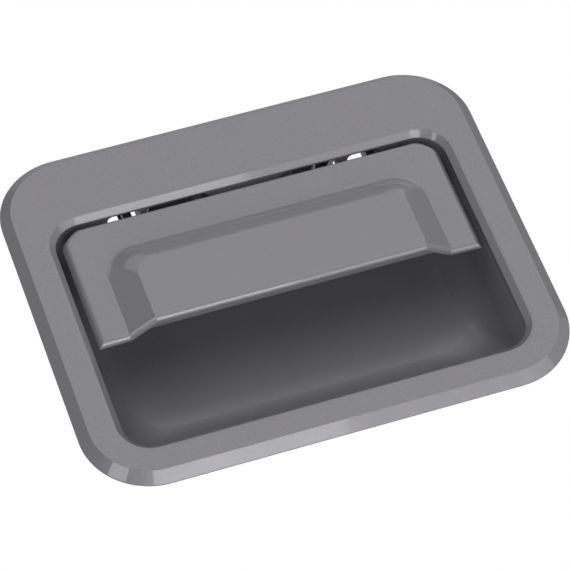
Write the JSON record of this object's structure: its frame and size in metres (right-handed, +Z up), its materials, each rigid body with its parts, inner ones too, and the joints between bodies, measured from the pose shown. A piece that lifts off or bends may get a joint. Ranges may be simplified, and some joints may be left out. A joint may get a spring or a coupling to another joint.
{
  "type": "recessed pull handle",
  "caption": "Recessed pull handle with a flanged rectangular cup, a hinged raised grip paddle across its upper half and a spring-returned release lever behind it.",
  "frame": {"origin": "centre of the flange's outline, on the plane where the flange's rim seats on the panel", "axes": "+X across the handle to the right as seen from the front, +Y into the panel, +Z up the panel; the front faces -Y"},
  "size_m": [0.165, 0.042, 0.134],
  "materials": {
    "shell": "clear-coated metallic grey",
    "zinc": "zinc plated",
    "steel": "drawn rod",
    "spring_steel": "oiled spring wire",
    "lever_paint": "black e-coat",
    "nylon": "natural moulded",
    "rubber": "moulded"
  },
  "bodies": {
    "housing_body": {"housing": "shell", "stud_upper_left": "zinc", "stud_lower_left": "zinc", "stud_upper_right": "zinc", "stud_lower_right": "zinc", "hinge_rod": "steel", "retaining_clip_left": "spring_steel", "retaining_clip_right": "spring_steel", "paddle_spring": "spring_steel", "lever_spring": "spring_steel", "bumper_left": "rubber", "bumper_right": "rubber"},
    "paddle_body": {"paddle": "shell"},
    "lever_body": {"release_lever": "lever_paint", "latch_rod_clip_left": "nylon", "latch_rod_clip_right": "nylon"}
  },
  "joints": [
    {"name": "paddle_hinge", "type": "hinge", "parent": "housing_body", "child": "paddle_body", "pos_m": [0, 0.0044, 0.048], "axis": [-1, 0, 0], "range_deg": [0, 30], "stiffness_Nm_per_rad": 0.3, "springref_deg": -11.46, "deforming": ["paddle_spring"]},
    {"name": "lever_hinge", "type": "hinge", "parent": "housing_body", "child": "lever_body", "pos_m": [0, 0.0044, 0.048], "axis": [-1, 0, 0], "range_deg": [0, 30], "stiffness_Nm_per_rad": 0.05, "springref_deg": -17.19, "deforming": ["lever_spring"]}
  ],
  "couplings": [
    {"joint": "lever_hinge", "follows": "paddle_hinge", "ratio": 1}
  ]
}
